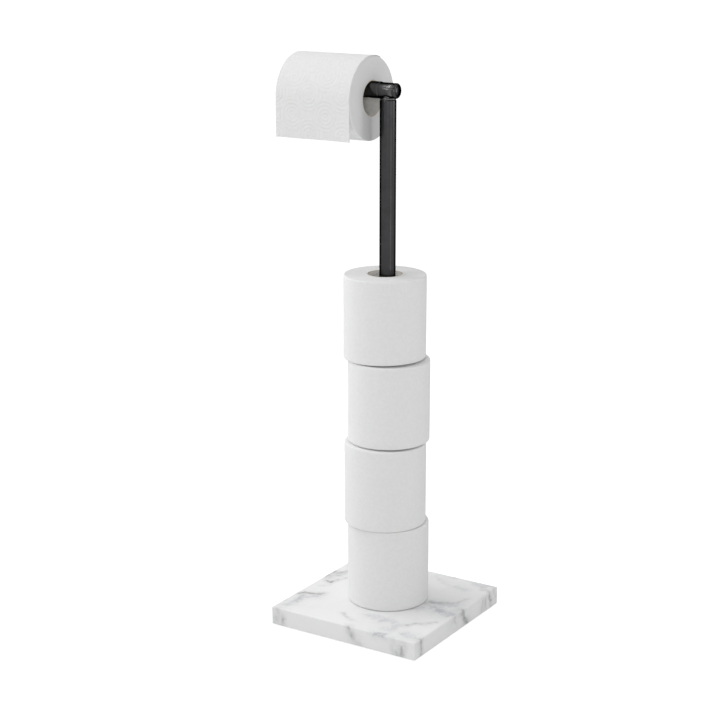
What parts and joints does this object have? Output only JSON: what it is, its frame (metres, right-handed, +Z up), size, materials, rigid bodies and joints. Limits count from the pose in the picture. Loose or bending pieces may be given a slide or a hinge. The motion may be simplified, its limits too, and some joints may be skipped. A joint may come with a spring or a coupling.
{
  "type": "toilet roll storage holder",
  "caption": "Free-standing toilet roll holder with a stone slab, a black post that stores spare rolls and a lift-off arm that carries the roll in use.",
  "frame": {"origin": "on the floor, under the middle of the slab, on the post's axis", "axes": "+Z up along the post; the arm reaches towards -X; the loose end of the paper hangs on the -Y side, which is the front"},
  "size_m": [0.2391, 0.2, 0.6751],
  "materials": {
    "stone": "satin",
    "foam": "matte",
    "steel": "satin",
    "black_metal": "satin",
    "nylon": "matte",
    "card": "matte",
    "tissue": "matte"
  },
  "bodies": {
    "stand": {"base_slab": "stone", "base_mat": "foam", "base_bolt": "steel", "flat_washer": "steel", "spring_washer": "steel", "foot_plug": "steel", "post_tube": "black_metal", "post_bush": "nylon"},
    "seat": {"seat_washer": "nylon"},
    "arm": {"arm_elbow": "black_metal", "elbow_cap": "black_metal", "arm_tube": "black_metal", "tip_cap": "black_metal"},
    "hanging_roll": {"hanging_core": "card", "hanging_paper": "tissue"},
    "spare_roll_1": {"spare_core_1": "card", "spare_paper_1": "tissue"},
    "spare_roll_2": {"spare_core_2": "card", "spare_paper_2": "tissue"},
    "spare_roll_3": {"spare_core_3": "card", "spare_paper_3": "tissue"},
    "spare_roll_4": {"spare_core_4": "card", "spare_paper_4": "tissue"}
  },
  "joints": [
    {"name": "arm_swivel", "type": "hinge", "parent": "stand", "child": "seat", "pos_m": [0, 0, 0.62695], "axis": [0, 0, 1], "continuous": true},
    {"name": "arm_lift", "type": "slide", "parent": "seat", "child": "arm", "axis": [0, 0, 1], "range_m": [0, 0.06]},
    {"name": "roll_spin", "type": "hinge", "parent": "arm", "child": "hanging_roll", "pos_m": [-0.071, 0, 0.6263], "axis": [1, 0, 0], "continuous": true},
    {"name": "spare_lift_1", "type": "slide", "parent": "stand", "child": "spare_roll_1", "axis": [0, 0, 1], "range_m": [0, 0.025]},
    {"name": "spare_lift_2", "type": "slide", "parent": "spare_roll_1", "child": "spare_roll_2", "axis": [0, 0, 1], "range_m": [0, 0.03]},
    {"name": "spare_lift_3", "type": "slide", "parent": "spare_roll_2", "child": "spare_roll_3", "axis": [0, 0, 1], "range_m": [0, 0.03]},
    {"name": "spare_lift_4", "type": "slide", "parent": "spare_roll_3", "child": "spare_roll_4", "axis": [0, 0, 1], "range_m": [0, 0.04]}
  ]
}
